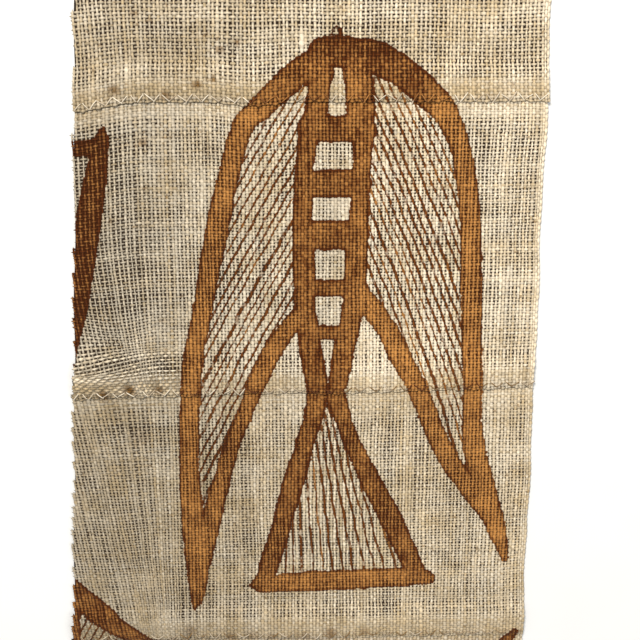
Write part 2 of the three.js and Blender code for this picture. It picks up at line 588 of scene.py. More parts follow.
def hatch_fields(x, y):
    """The fine lines' phase, half width as a share of their gap, and where they are drawn."""
    phase = np.zeros(x.shape)
    half = np.full(x.shape, 0.1)
    drawn = np.zeros(x.shape)
    for number, name in enumerate(FIELDS, 1):
        inside = inside_loop(field_loop(name), x, y)
        if name == "tail":
            down = (FAN_TOP["y"] - y) / (FAN_TOP["y"] - FAN_BASE["y"])
            gap = np.maximum(FAN_TOP["gap"] + (FAN_BASE["gap"] - FAN_TOP["gap"]) * down, 1.5)
            value = (x - FAN_LEFT) / gap + 40
            share = HATCH_HALF / gap
        else:
            hatch = HATCH[name]
            slant = hatch["slant"] * y + 0.5 * hatch["bend"] * y**2
            value = (x - slant) / hatch["gap"] + 100 * number
            share = np.full(x.shape, HATCH_HALF / hatch["gap"] * 1.06)
        value = value + 0.3 * soft_noise(value / 1.7, 0 * value, SEED + 45)
        phase = np.where(inside, value, phase)
        half = np.where(inside, np.minimum(share, 0.6), half)
        drawn = np.where(inside, 1.0, drawn)
    return phase, half, drawn


# The weave of one strip


def openness(k, x, y):
    """How loose the weave is, from 0, tight, to 1, open."""
    loose = 0.42 + 0.34 * soft_noise(x / 17 + 3 * k, y / 13 + 5, SEED + 2)
    loose = loose + 0.3 * soft_noise(x / 5.5 + 2 * k, y / 4.5, SEED + 8)
    if k == 1:
        left = smooth((-52 - x) / 14) * smooth((y + 2) / 10) * smooth((90 - y) / 10)
        loose = loose + 0.75 * left
    if k >= 2:
        loose = loose + 0.2
    under_seam = smooth((7 - 7 * (below_seam(k, x, y) / STRIPS[k]["tight_below"])) / 3)
    over_seam = smooth((10 - above_seam(k, x, y)) / 3)
    return np.clip(loose * (1 - 0.8 * np.maximum(under_seam, over_seam)), 0, 1)


def long_faced(k, x, y):
    """Where the long threads cover the cross threads, in the pucker above the second seam."""
    if k != 1:
        return np.zeros_like(x)
    return smooth((y + 20) / 4) * smooth((4 - y) / 8) * smooth((-38 - x) / 14)


def lean_shift(k, x, y):
    """How far the cross threads have slid along X, where hand weaving leans them at the left."""
    reach = smooth((-46 - x) / 30)
    if k == 1:
        return reach * 0.13 * np.maximum(49 - y, 0) ** 2 / 64
    if k == 2:
        return -reach * 0.16 * (y + 66)
    if k == 3:
        return -reach * 0.1 * (y + 126)
    return -reach * 0.03 * (y - 118)


def pucker_shift(k, x, y):
    """How far the long threads have slid along Y in the pucker above the second seam."""
    if k != 1:
        return np.zeros_like(x)
    dense = 5.2 * bump(y, -5.5, 10) * (smooth((x + 92) / 42) - 0.62) * smooth((-26 - x) / 22)
    spread = -3.2 * bump(y, 9, 11) * (smooth((x + 92) / 26) - 0.5) * smooth((-52 - x) / 14)
    return dense + spread


def cross_places(k, pitch):
    """Distances of the cross threads from the right edge."""
    rng = np.random.RandomState(SEED + 10 + k)
    places = [0.5]
    while places[-1] < RIGHT_EDGE - LEFT_EDGE + 26:
        count = len(places)
        step = pitch * (0.66 if count < 3 else 1.0) * (1 + 0.09 * rng.randn())
        if RIGHT_EDGE - places[-1] < -50:
            step *= STRIPS[k]["left_spread"]
        places.append(places[-1] + max(step, 0.6))
    return np.array(places)


def long_places(k, pitch):
    """Heights of the long threads above the strip's lower line, measured at the cloth's middle."""
    rng = np.random.RandomState(SEED + 20 + k)
    width = strip_width(k)
    start = 0.35 if k < len(SEAMS) else -2.0
    stop = width + 2.0 if k == 0 else width - 0.3
    places = [start]
    while places[-1] < stop:
        here = places[-1]
        near_lower = k < len(SEAMS) and here < 8
        near_upper = k > 0 and here > width - LAP - 5
        step = pitch * (0.84 if near_lower or near_upper else 1.02) * (1 + 0.09 * rng.randn())
        places.append(here + max(step, 0.55))
    return np.array(places)


def crossings(k, sizes):
    """The crossing points of strip k's threads: rows are cross threads, columns long threads."""
    places = cross_places(k, sizes.cross_pitch[k] / MM)
    heights = long_places(k, sizes.long_pitch[k] / MM)
    width = strip_width(k)
    rows, columns = len(places), len(heights)
    share = heights[None, :] / width
    index_i = np.arange(rows)[:, None] * 7.31 + 0.5
    index_j = np.arange(columns)[None, :] * 5.17 + 0.5
    x = (RIGHT_EDGE - places)[:, None] + np.zeros((1, columns))
    y = lower_line(k, x) + share * (upper_line(k, x) - lower_line(k, x))
    near_right = np.exp(-places / 12)[:, None]
    x = x + (right_edge(y) - RIGHT_EDGE) * near_right
    if k == 0:
        x = x + 0.9 * near_right * np.exp(-np.maximum(y - lower_line(k, x), 0) / 3.5)
    free = smooth(places / 6)[:, None]
    x = x + lean_shift(k, x, y) + free * 0.16 * soft_noise(y / 8 + 0 * x, index_i + 0 * x, SEED + 3 + k)
    x = x + free * 0.35 * soft_noise(x / 26, y / 22 + 7 * k, SEED + 4)
    y = lower_line(k, x) + share * (upper_line(k, x) - lower_line(k, x))
    inner = smooth(heights / 5)[None, :] * smooth((width - heights) / 5)[None, :]
    y = y + inner * 0.12 * soft_noise(x / 8, index_j + 0 * x, SEED + 5 + k)
    y = y + inner * 0.3 * soft_noise(x / 24 + 4, y / 19 + 3 * k, SEED + 6)
    y = y + pucker_shift(k, x, y)
    rng = np.random.RandomState(SEED + 25 + k)
    x = x + free * 0.07 * np.clip(rng.randn(*x.shape), -2, 2)
    y = y + inner * 0.06 * np.clip(rng.randn(*x.shape), -2, 2)
    if k < len(SEAMS):
        wander = SEWING[k]["wander"] * soft_noise(x / 4, 0 * x, SEED + 7 + k)
        scallop = SCALLOP * np.abs(np.sin(zigzag_turn(k, x) / 2)) + wander
        y = y - scallop * np.exp(-heights / SCALLOP_REACH)[None, :]
    return x, y


def cotton_fields(k, x, y, crosswise, rng):
    """What the cotton's colour follows: brightness, with painted shade and painted light in it, tan tint
    and stains.
    """
    strip = STRIPS[k]
    count = x.shape[0] if crosswise else x.shape[1]
    per_thread = thread_wise(rng.randn(count) * SHADE_CHANGE["thread"], crosswise)
    faced = long_faced(k, x, y)
    each = SHADE_CHANGE["crossing"] + SHADE_CHANGE["faced crossing"] * faced
    each = each * np.clip(rng.randn(*x.shape), -2, 2)
    streak = thread_wise(TINT_CHANGE["thread"] * rng.randn(count), crosswise)
    along = soft_noise(x / 6, y / 6, SEED + 30 + k) * SHADE_CHANGE["broad"]
    lit = strip["left_shade"] + (strip["right_shade"] - strip["left_shade"]) * smooth((x + 80) / 130)
    # Broad painted shade and painted light from the patches
    for patch in PATCHES:
        lit = lit * (1 + patch["change"] * smooth(1.25 - oval_distance(patch, x, y)))
    # Painted shade: the threads that lie lower are painted darker, those riding on top lighter
    ride_shade = 1.03 - 0.08 * faced if crosswise else 0.95 + 0.24 * faced
    shade = lit * (1 + per_thread + along + each) * ride_shade
    tint = strip["tan"] + TINT_CHANGE["broad"] * soft_noise(x / 9, y / 7, SEED + 31 + k)
    tint = tint + TINT_CHANGE["crossing"] * rng.randn(*x.shape) + streak

    # Greyer and tanner on the lap, and a painted shadow in the crease under the seam's edge
    lapped = smooth((8 - above_seam(k, x, y)) / 4)
    tint = tint + 0.25 * lapped
    shade = shade * (1 - 0.1 * lapped)
    below = below_seam(k, x, y)
    seam_shadow = 0.55 + 0.3 * soft_noise(x / 5, 0 * x, SEED + 33 + k)
    shade = shade * (1 - 0.03 * smooth((5 - below) / 3)) * (1 - seam_shadow * smooth((0.5 - below) / 0.9))
    for slub in SLUBS:
        near = slub_near(slub, x, y)
        shade = shade * (1 + 0.15 * slub["gain"] * near)
        tint = tint - 0.6 * near
    stain = np.zeros_like(x)
    for spot in STAINS:
        away = np.hypot(x - spot["x"], y - spot["y"]) / spot["radius"]
        stain = np.maximum(stain, spot["strength"] * smooth(1.3 - away))
    return {"shade": shade, "tint": np.clip(tint, 0, 1), "stain": stain}


def paint_fields(points, middle, soak):
    """What the dye follows at each point of the threads. soak is how much further a thread drew it."""
    edge = middle + EDGE_ACROSS_THREAD * (points - middle)
    depth, wash = dye_fields(edge[:, 0], edge[:, 1])
    depth = depth + 0.3 * soft_noise(edge[:, 0] / 4, edge[:, 1] / 4, SEED + 40) + 0.14 * soak
    phase, half, drawn = hatch_fields(edge[:, 0], edge[:, 1])
    wash = wash + WASH_UNEVENNESS * np.clip(soak, -2, 2)
    return {"dye": np.clip(depth, -8, 8), "wash": wash, "phase": phase, "line": half, "drawn": drawn}


# Meshes from arrays


def add_field(mesh, name, values):
    """Gives each point of a mesh one number, for the materials to read."""
    layer = mesh.attributes.new(name, "FLOAT", "POINT")
    layer.data.foreach_set("value", values.astype(np.float32))


def new_mesh(name, points, corners, counts, fields, uvs):
    """A mesh from arrays: points in millimetres, corner indices, corners per face."""
    mesh = bpy.data.meshes.new(name)
    mesh.vertices.add(len(points))
    mesh.vertices.foreach_set("co", (points * MM).astype(np.float32).ravel())
    mesh.loops.add(len(corners))
    mesh.loops.foreach_set("vertex_index", corners.astype(np.int32))
    mesh.polygons.add(len(counts))
    starts = np.concatenate([[0], np.cumsum(counts)[:-1]])
    mesh.polygons.foreach_set("loop_start", starts.astype(np.int32))
    mesh.update(calc_edges=True)
    for field, values in fields.items():
        add_field(mesh, field, values)
    for uv, values in uvs.items():
        layer = mesh.uv_layers.new(name=uv)
        layer.data.foreach_set("uv", values.astype(np.float32).ravel())
    mesh.polygons.foreach_set("use_smooth", np.ones(len(counts), bool))
    mesh.validate()
    return mesh


def new_piece(name, mesh, material):
    """Puts a mesh in the scene as one object with one material."""
    mesh.materials.clear()
    mesh.materials.append(material)
    piece = bpy.data.objects.new(name, mesh)
    bpy.context.scene.collection.objects.link(piece)
    return piece


def finish_piece(piece, nodes=()):
    """Rides the piece on the cloth and hides the solids it stands for."""
    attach(piece, BODY)
    if nodes:
        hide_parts(*nodes)


def runs_of(kept):
    """Start and end of each unbroken run of True values at least 3 long."""
    edges = np.flatnonzero(np.diff(np.concatenate([[0], kept.astype(int), [0]])))
    return [(a, b) for a, b in zip(edges[::2], edges[1::2]) if b - a >= 3]


def tube(centre, half_width, half_thick, fields, ends):
    """One thread as a closed flattened tube: points, corners, counts, fields and its yarn map."""
    count = len(centre)
    ahead = np.gradient(centre[:, :2], axis=0)
    ahead /= np.linalg.norm(ahead, axis=1, keepdims=True)
    side = np.stack([-ahead[:, 1], ahead[:, 0]], axis=1)
    angle = (np.arange(SIDES) + 0.5) * 2 * math.pi / SIDES
    ring = np.zeros((count, SIDES, 3))
    sideways = (half_width[:, None] * np.cos(angle))[:, :, None]
    ring[:, :, :2] = centre[:, None, :2] + side[:, None, :] * sideways
    ring[:, :, 2] = centre[:, None, 2] + half_thick[:, None] * np.sin(angle)
    tips = np.array([centre[0], centre[-1]])
    tips[0, :2] -= ahead[0] * ends[0]
    tips[1, :2] += ahead[-1] * ends[1]
    tips[:, 2] -= TIP_SINK
    points = np.vstack([ring.reshape(-1, 3), tips])

    r, s = np.meshgrid(np.arange(count - 1), np.arange(SIDES), indexing="ij")
    r, s = r.ravel(), s.ravel()
    nxt = (s + 1) % SIDES
    quads = np.stack([r * SIDES + s, r * SIDES + nxt, (r + 1) * SIDES + nxt, (r + 1) * SIDES + s], axis=1)
    s = np.arange(SIDES)
    nxt = (s + 1) % SIDES
    first, last = np.full(SIDES, count * SIDES), np.full(SIDES, count * SIDES + 1)
    start_cap = np.stack([nxt, s, first], axis=1)
    end_cap = np.stack([(count - 1) * SIDES + s, (count - 1) * SIDES + nxt, last], axis=1)
    corners = np.concatenate([quads.ravel(), start_cap.ravel(), end_cap.ravel()])
    counts = np.concatenate([np.full(len(quads), 4), np.full(2 * SIDES, 3)])

    length = np.concatenate([[0], np.cumsum(np.linalg.norm(np.diff(centre, axis=0), axis=1))])
    ring_at = np.repeat(np.arange(count - 1), SIDES)
    side_at = np.tile(np.arange(SIDES), count - 1)
    along = np.stack([length[ring_at], length[ring_at], length[ring_at + 1], length[ring_at + 1]], axis=1)
    around = np.stack([side_at, side_at + 1, side_at + 1, side_at], axis=1) / SIDES
    cap_along = np.full((2 * SIDES, 3), 0.0)
    cap_along[SIDES:] = length[-1]
    cap_along[:SIDES, 2] -= ends[0]
    cap_along[SIDES:, 2] += ends[1]
    start_around = np.stack([s + 1, s, s + 0.5], axis=1) / SIDES
    end_around = np.stack([s, s + 1, s + 0.5], axis=1) / SIDES
    u = np.concatenate([along.ravel(), cap_along.ravel()])
    v = np.concatenate([around.ravel(), start_around.ravel(), end_around.ravel()])
    ringed = {}
    for name, values in fields.items():
        ringed[name] = np.concatenate([np.repeat(values, SIDES), [values[0], values[-1]]])
    return points, corners, counts, ringed, np.stack([u, v], axis=1)


def thread_mesh(name, threads, plane):
    """All threads of one direction as one mesh. Each thread has its own row in the bake map."""
    points, corners, counts, yarn, baked = [], [], [], [], []
    fields = {}
    offset = 0
    for row, thread in enumerate(threads):
        p, c, n, f, uv = tube(*thread)
        points.append(p)
        corners.append(c + offset)
        counts.append(n)
        yarn.append(uv)
        span = np.ptp(uv[:, 0])
        across = (uv[:, 0] - uv[:, 0].min()) / span
        upwards = (row + 0.06 + 0.88 * uv[:, 1]) / len(threads)
        baked.append(np.stack([0.002 + 0.996 * across, upwards], axis=1))
        for key, values in f.items():
            fields.setdefault(key, []).append(values)
        offset += len(p)
    points = np.vstack(points)
    fields = {key: np.concatenate(values) for key, values in fields.items()}
    middle = np.stack([fields.pop("middle_x"), fields.pop("middle_y")], axis=1)
    fields.update(paint_fields(points[:, :2], middle, fields.pop("soak")))
    level = plane(points[:, 0], points[:, 1])
    fields["crown"] = np.clip((points[:, 2] - level + CROWN_BELOW) / CROWN_SPAN, 0, 1)
    uvs = {"yarn": np.vstack(yarn), "OFBake": np.vstack(baked)}
    return new_mesh(name, points, np.concatenate(corners), np.concatenate(counts), fields, uvs)


def weave(k, crosswise, sizes):
    """Strip k's cross threads or its long threads, as a list of tubes."""
    rng = np.random.RandomState(SEED + 50 + 2 * k + crosswise)
    x, y = crossings(k, sizes)
    rows, columns = x.shape
    over = (np.arange(rows)[:, None] + np.arange(columns)[None, :]) % 2 == 0
    if not crosswise:
        over = ~over
    crimp = (sizes.cross_crimp if crosswise else sizes.long_crimp) / MM * np.where(over, 1.0, -1.0)
    z = middle_height(k, x, y)
    faced = long_faced(k, x, y)
    z = z + crimp + (CROSS_RIDE - FACED_RIDE * faced if crosswise else LONG_RIDE + FACED_RIDE * faced)
    base_width = (sizes.cross_width if crosswise else sizes.long_width) / MM / 2
    base_thick = (sizes.cross_thickness if crosswise else sizes.long_thickness) / MM / 2

    # Each thread has its own width, swells and thins along its length and spreads in loose weave
    count = rows if crosswise else columns
    each = thread_wise(1 + 0.11 * np.clip(rng.randn(count), -2, 2), crosswise)
    tight = 1.16 - 0.42 * openness(k, x, y) - 0.2 * faced
    number = thread_wise(np.arange(count), crosswise) * 3.7 + 0 * x
    seed = SEED + (60 if crosswise else 70) + k
    uneven = 1 + 0.13 * soft_noise((y if crosswise else x) / 3.1, number, seed)
    if crosswise:
        for slub in SLUBS:
            uneven = uneven + slub["gain"] * slub_near(slub, x, y)
    gain = each * tight * uneven * (1 + 0.09 * np.clip(rng.randn(*x.shape), -2, 2))
    balance = STRIPS[k]["long_share"] + 0.24 * faced
    if crosswise:
        half_width = base_width * gain * np.where(over, 1.06, 0.9) * (1 - 0.5 * balance)
    else:
        half_width = base_width * gain * np.where(over, 1.12, 0.8) * (1 + balance)
    half_thick = base_thick * np.sqrt(gain)
    fields = cotton_fields(k, x, y, crosswise, rng)
    fields.update({"middle_x": x, "middle_y": y, "soak": rng.randn(*x.shape)})

    kept = x > left_edge(y)
    if k == 0:
        kept &= y < top_cut(x)
    if k == len(SEAMS):
        kept &= y > bottom_cut(x)
    if crosswise:
        kept &= x < right_edge(y) + 2
    threads = []
    for i in range(count):
        cut = (i, slice(None)) if crosswise else (slice(None), i)
        for a, b in runs_of(kept[cut]):
            centre = np.stack([x[cut][a:b], y[cut][a:b], z[cut][a:b]], axis=1)
            inner = {key: values[cut][a:b] for key, values in fields.items()}
            ends = [rng.uniform(*CUT_END), rng.uniform(*CUT_END)]
            if a == 0 and not (k == len(SEAMS) and crosswise):
                ends[0] = WOVEN_END
            if crosswise and k > 0 and b == columns:
                ends[1] = LAPPED_END
            threads.append((centre, half_width[cut][a:b], half_thick[cut][a:b], inner, ends))
    return threads


def ground_mesh(name, k, sizes):
    """The thin closed sheet in the middle of strip k's weave, painted as the shade seen through its gaps.
    """
    cell = sizes.ground_cell / MM
    width = strip_width(k)
    across = int((RIGHT_EDGE - LEFT_EDGE) / cell)
    up = max(4, int(width / cell))
    share = np.linspace(0, 1, up + 1)[:, None] + np.zeros((1, across + 1))
    level = lower_line(k, np.zeros_like(share)) + share * width
    left, right = left_edge(level) + GROUND_INSET, right_edge(level) - GROUND_INSET
    x = left + (right - left) * np.linspace(0, 1, across + 1)[None, :]
    low, high = lower_line(k, x) + GROUND_INSET, upper_line(k, x) - GROUND_INSET
    y = low + share * (high - low)
    z = middle_height(k, x, y)
    half = sizes.ground_thickness / MM / 2
    flat = np.stack([x, y, z], axis=2).reshape(-1, 3)
    points = np.vstack([flat - [0, 0, half + GROUND_SINK], flat + [0, 0, half - GROUND_SINK]])
    columns = across + 1
    layer = len(flat)
    j, i = np.meshgrid(np.arange(up), np.arange(across), indexing="ij")
    a = (j * columns + i).ravel()
    top = np.stack([a, a + 1, a + columns + 1, a + columns], axis=1) + layer
    bottom = np.stack([a, a + columns, a + columns + 1, a + 1], axis=1)
    rim = np.concatenate([
        np.arange(across),
        np.arange(up) * columns + across,
        up * columns + np.arange(across, 0, -1),
        np.arange(up, 0, -1) * columns,
    ])
    after = np.roll(rim, -1)
    wall = np.stack([rim, after, after + layer, rim + layer], axis=1)
    faces = np.vstack([top, bottom, wall])

    # The gaps are painted dark as shade where the weave is a single layer, and less so in the pucker
    depth, wash = dye_fields(x, y)
    gap = smooth((above_seam(k, x, y) - 6.5) / 3) * smooth((below_seam(k, x, y) - 3.5) / 3)
    if k == 1:
        gap = gap * (1 - 0.4 * bump(y, -12, 12) * smooth((-30 - x) / 20))
    fields = {"dye": depth.ravel(), "wash": wash.ravel(), "gap": gap.ravel()}
    fields = {key: np.tile(values, 2) for key, values in fields.items()}
    counts = np.full(len(faces), 4)
    return new_mesh(name, points, faces.ravel(), counts, fields, {})


# Materials


def new_material(name):
    material = bpy.data.materials.new(name)
    material.use_nodes = True
    material.node_tree.nodes.clear()
    return material


def add(tree, kind, inputs=None, out=0, **settings):
    """Adds a node with its settings and links, and returns one of its outputs."""
    node = tree.nodes.new(kind)
    for key, value in settings.items():
        setattr(node, key, value)
    for key, value in (inputs or {}).items():
        if isinstance(value, bpy.types.NodeSocket):
            tree.links.new(value, node.inputs[key])
        else:
            node.inputs[key].default_value = value
    return node.outputs[out] if node.outputs else node


def matt_output(tree, colour, normal=None, sheen=0.0):
    """Dry plant fibre: no gloss, a little fuzz that catches light at the edges."""
    links = {"Base Color": colour, "Roughness": 0.92, "Specular IOR Level": 0.12, "Sheen Weight": sheen}
    links["Sheen Roughness"] = 0.6
    if normal is not None:
        links["Normal"] = normal
    surface = add(tree, "ShaderNodeBsdfPrincipled", links)
    add(tree, "ShaderNodeOutputMaterial", {"Surface": surface})


def painted_cotton_material(colours):
    """Hand-spun cotton yarn, undyed and unbleached, painted with plant and mud dye by hand.

    The cotton is cream with greyer and tanner lengths; its crowns carry painted light and some wear,
    and its low parts painted shade and some dust. The dye soaks each thread on its own, so strokes end
    in steps, with a darker rim where it dried last; it too is painted lighter on the crowns and darker
    low down.
    """
    material = new_material("Painted hand-spun cotton")
    tree = material.node_tree
    place = add(tree, "ShaderNodeTexCoord", out="Object")
    field = {}
    for name in ("shade", "tint", "stain", "dye", "wash", "phase", "line", "drawn", "crown"):
        field[name] = add(tree, "ShaderNodeAttribute", out="Fac", attribute_name=name)

    # Cotton: cream to tan, with brown flecks of seed coat about 1 mm long
    cream, tan = colours.cream, colours.tan
    cotton = add(tree, "ShaderNodeMix", {0: field["tint"], 6: cream, 7: tan}, **COLOUR)
    grain = {"Vector": place, "Scale": 1 / (2.2 * MM), "Detail": 1.0}
    fleck = add(tree, "ShaderNodeTexNoise", grain, out="Fac")
    fleck = add(
        tree, "ShaderNodeMapRange", {"Value": fleck, "From Min": 0.69, "From Max": 0.76, "To Max": 0.55},
        **SOFT,
    )
    marked = add(tree, "ShaderNodeMath", {0: fleck, 1: field["stain"]}, operation="MAXIMUM")
    cotton = add(tree, "ShaderNodeMix", {0: marked, 6: cotton, 7: colours.fleck}, **COLOUR)

    # Dye: soaked edge, darker rim, blotchy middle
    grain = {"Vector": place, "Scale": 1 / (1.1 * MM), "Detail": 2.0}
    ragged = add(tree, "ShaderNodeTexNoise", grain, out="Fac")
    ragged = add(tree, "ShaderNodeMath", {0: ragged, 1: 0.9, 2: -0.45}, operation="MULTIPLY_ADD")
    depth = add(tree, "ShaderNodeMath", {0: field["dye"], 1: ragged}, operation="ADD")
    cover = add(tree, "ShaderNodeMapRange", {"Value": depth, "From Min": -0.1, "From Max": 0.2}, **SOFT)
    dried = {"Value": depth, "From Min": 0.3, "From Max": 1.6, "To Min": 0.6, "To Max": 0.0}
    rim = add(tree, "ShaderNodeMapRange", dried, **SOFT)
    grain = {"Vector": place, "Scale": 1 / (6 * MM), "Detail": 3.0}
    blotch = add(tree, "ShaderNodeTexNoise", grain, out="Fac")
    blotch = add(tree, "ShaderNodeMath", {0: blotch, 1: 1.1, 2: -0.55}, operation="MULTIPLY_ADD")
    dark = add(tree, "ShaderNodeMath", {0: field["wash"], 1: rim}, operation="ADD")
    dark = add(tree, "ShaderNodeMath", {0: dark, 1: blotch}, operation="ADD")
    # Painted light on the crowns and painted shade in the low parts thin and deepen the dye, with some
    # rubbing
    crown_shade_and_rub = add(tree, "ShaderNodeMath", {0: field["crown"], 1: -0.8, 2: 0.5}, operation="MULTIPLY_ADD")
    dark = add(tree, "ShaderNodeMath", {0: dark, 1: crown_shade_and_rub}, operation="ADD", use_clamp=True)
    dye = add(tree, "ShaderNodeMix", {0: dark, 6: colours.dye_thin, 7: colours.dye_thick}, **COLOUR)

    # Fine brush lines, each with its own strength and width
    grain = {"Vector": place, "Scale": 1 / (9 * MM), "Detail": 1.0}
    wobble = add(tree, "ShaderNodeTexNoise", grain, out="Fac")
    phase = add(tree, "ShaderNodeMath", {0: wobble, 1: 0.5, 2: field["phase"]}, operation="MULTIPLY_ADD")
    number = add(tree, "ShaderNodeMath", {0: phase}, operation="FLOOR")
    own = add(tree, "ShaderNodeTexWhiteNoise", {"W": number}, out="Value", noise_dimensions="1D")
    inside = add(tree, "ShaderNodeMath", {0: phase}, operation="FRACT")
    away = add(tree, "ShaderNodeMath", {0: inside, 1: 0.5}, operation="SUBTRACT")
    away = add(tree, "ShaderNodeMath", {0: away}, operation="ABSOLUTE")
    width = add(tree, "ShaderNodeMath", {0: own, 1: -0.4, 2: 1.15}, operation="MULTIPLY_ADD")
    width = add(tree, "ShaderNodeMath", {0: width, 1: field["line"]}, operation="MULTIPLY")
    line = add(tree, "ShaderNodeMath", {0: width, 1: away}, operation="SUBTRACT")
    line = add(tree, "ShaderNodeMapRange", {"Value": line, "From Min": -0.035, "From Max": 0.03}, **SOFT)
    grain = {"Vector": place, "Scale": 1 / (3 * MM), "Detail": 2.0}
    skipped = add(tree, "ShaderNodeTexNoise", grain, out="Fac")
    skipped = add(
        tree, "ShaderNodeMapRange", {"Value": skipped, "From Min": 0.3, "From Max": 0.44, "To Min": 0.4},
        **SOFT,
    )
    line = add(tree, "ShaderNodeMath", {0: line, 1: field["drawn"]}, operation="MULTIPLY")
    line = add(tree, "ShaderNodeMath", {0: line, 1: skipped}, operation="MULTIPLY")
    grain = {"Vector": place, "Scale": 1 / (12 * MM), "Detail": 1.0}
    drier = add(tree, "ShaderNodeTexNoise", grain, out="Fac")
    faint = add(tree, "ShaderNodeMath", {0: drier, 1: 1.2, 2: own}, operation="MULTIPLY_ADD")
    faint = add(
        tree, "ShaderNodeMapRange", {"Value": faint, "From Min": 1.25, "From Max": 1.7, "To Max": 0.6},
        **SOFT,
    )
    ink = add(tree, "ShaderNodeMix", {0: faint, 6: colours.dye_line, 7: colours.dye_thin}, **COLOUR)

    painted = add(tree, "ShaderNodeMix", {0: line, 6: cotton, 7: ink}, **COLOUR)
    painted = add(tree, "ShaderNodeMix", {0: cover, 6: painted, 7: dye}, **COLOUR)

    # Painted light on the crowns and painted shade in the low parts, with some wear and dust. The dye hides
    # most of the cotton's shade field.
    hidden = add(tree, "ShaderNodeMapRange", {"Value": cover, "To Max": 0.6})
    shade = add(tree, "ShaderNodeMix", {0: hidden, 2: field["shade"], 3: 1.0}, data_type="FLOAT")
    crown_shade_and_wear = add(tree, "ShaderNodeMapRange", {"Value": field["crown"], "To Min": 0.3, "To Max": 1.16})
    crown_shade_and_wear = add(tree, "ShaderNodeMath", {0: crown_shade_and_wear, 1: shade}, operation="MULTIPLY")
    painted = add(tree, "ShaderNodeVectorMath", {0: painted, "Scale": crown_shade_and_wear}, operation="SCALE")

    # Twist of the yarn, one turn in 0.9 mm (coarser than real, so that it shows), and loose fibre
    yarn = add(tree, "ShaderNodeUVMap", uv_map="yarn")
    length = add(tree, "ShaderNodeSeparateXYZ", {"Vector": yarn}, out="X")
    around = add(tree, "ShaderNodeSeparateXYZ", {"Vector": yarn}, out="Y")
    turn = add(tree, "ShaderNodeMath", {0: length, 1: 1 / 0.9, 2: around}, operation="MULTIPLY_ADD")
    turn = add(tree, "ShaderNodeMath", {0: turn, 1: 2 * math.pi}, operation="MULTIPLY")
    turn = add(tree, "ShaderNodeMath", {0: turn}, operation="SINE")
    grain = {"Vector": place, "Scale": 1 / (0.4 * MM), "Detail": 2.0}
    fibre = add(tree, "ShaderNodeTexNoise", grain, out="Fac")
    relief = add(tree, "ShaderNodeMath", {0: fibre, 1: 1.5, 2: turn}, operation="MULTIPLY_ADD")
    normal = add(tree, "ShaderNodeBump", {"Height": relief, "Distance": 0.03 * MM, "Strength": 0.8})
    matt_output(tree, painted, normal, sheen=0.05)
    return material


def ground_material(colours):
    """The shadowed inside of the weave: dark between single threads, tan where a second layer backs it."""
    material = new_material("Painted shade inside the weave")
    tree = material.node_tree
    gap = add(tree, "ShaderNodeAttribute", out="Fac", attribute_name="gap")
    dye = add(tree, "ShaderNodeAttribute", out="Fac", attribute_name="dye")
    place = add(tree, "ShaderNodeTexCoord", out="Object")
    grain = {"Vector": place, "Scale": 1 / (2 * MM), "Detail": 2.0}
    soft = add(tree, "ShaderNodeTexNoise", grain, out="Fac")
    gap = add(tree, "ShaderNodeMath", {0: soft, 1: 0.5, 2: gap}, operation="MULTIPLY_ADD")
    gap = add(tree, "ShaderNodeMapRange", {"Value": gap, "From Min": 0.25, "From Max": 1.0})
    bare = add(tree, "ShaderNodeMix", {0: gap, 6: colours.behind_tan, 7: colours.behind_dark}, **COLOUR)
    cover = add(tree, "ShaderNodeMapRange", {"Value": dye, "From Min": -0.3, "From Max": 0.4})
    colour = add(tree, "ShaderNodeMix", {0: cover, 6: bare, 7: colours.behind_dye}, **COLOUR)
    matt_output(tree, colour)
    return material


def sewing_material(colours):
    """Spun sewing cotton, smoother and paler than the yarn, dyed where a stroke crosses the seam."""
    material = new_material("Sewing cotton")
    tree = material.node_tree
    dye = add(tree, "ShaderNodeAttribute", out="Fac", attribute_name="dye")
    # Dust and painted shade darken the sewing thread
    dust_and_shade = add(tree, "ShaderNodeAttribute", out="Fac", attribute_name="dust_and_shade")
    clean = add(tree, "ShaderNodeMix", {0: dust_and_shade, 6: colours.sewing, 7: colours.sewing_dark}, **COLOUR)
    soaked = add(tree, "ShaderNodeMath", {0: dust_and_shade, 1: 0.35}, operation="ADD", use_clamp=True)
    dyed = add(tree, "ShaderNodeMix", {0: soaked, 6: colours.dye_thin, 7: colours.dye_thick}, **COLOUR)
    cover = add(tree, "ShaderNodeMapRange", {"Value": dye, "From Min": -0.2, "From Max": 0.5})
    colour = add(tree, "ShaderNodeMix", {0: cover, 6: clean, 7: dyed}, **COLOUR)
    place = add(tree, "ShaderNodeTexCoord", out="Object")
    ply = add(tree, "ShaderNodeTexNoise", {"Vector": place, "Scale": 1 / (0.3 * MM)}, out="Fac")
    normal = add(tree, "ShaderNodeBump", {"Height": ply, "Distance": 0.03 * MM, "Strength": 0.6})
    matt_output(tree, colour, normal, sheen=0.1)
    return material


def floor_material(colours):
    """Plain pale matt paint."""
    material = new_material("Pale matt paint")
    tree = material.node_tree
    place = add(tree, "ShaderNodeTexCoord", out="Object")
    grain = add(tree, "ShaderNodeTexNoise", {"Vector": place, "Scale": 1 / (30 * MM)}, out="Fac")
    colour = add(tree, "ShaderNodeMix", {0: grain, 6: colours.floor, 7: colours.floor_low}, **COLOUR)
    matt_output(tree, colour)
    return material


def shared_material(context, kind):
    """The named material, made on its first use."""
    makers = {
        "Painted hand-spun cotton": painted_cotton_material,
        "Painted shade inside the weave": ground_material,
        "Sewing cotton": sewing_material,
        "Pale matt paint": floor_material,
    }
    return bpy.data.materials.get(kind) or makers[kind](context.scene.cloth_colours)


# Geometry Nodes


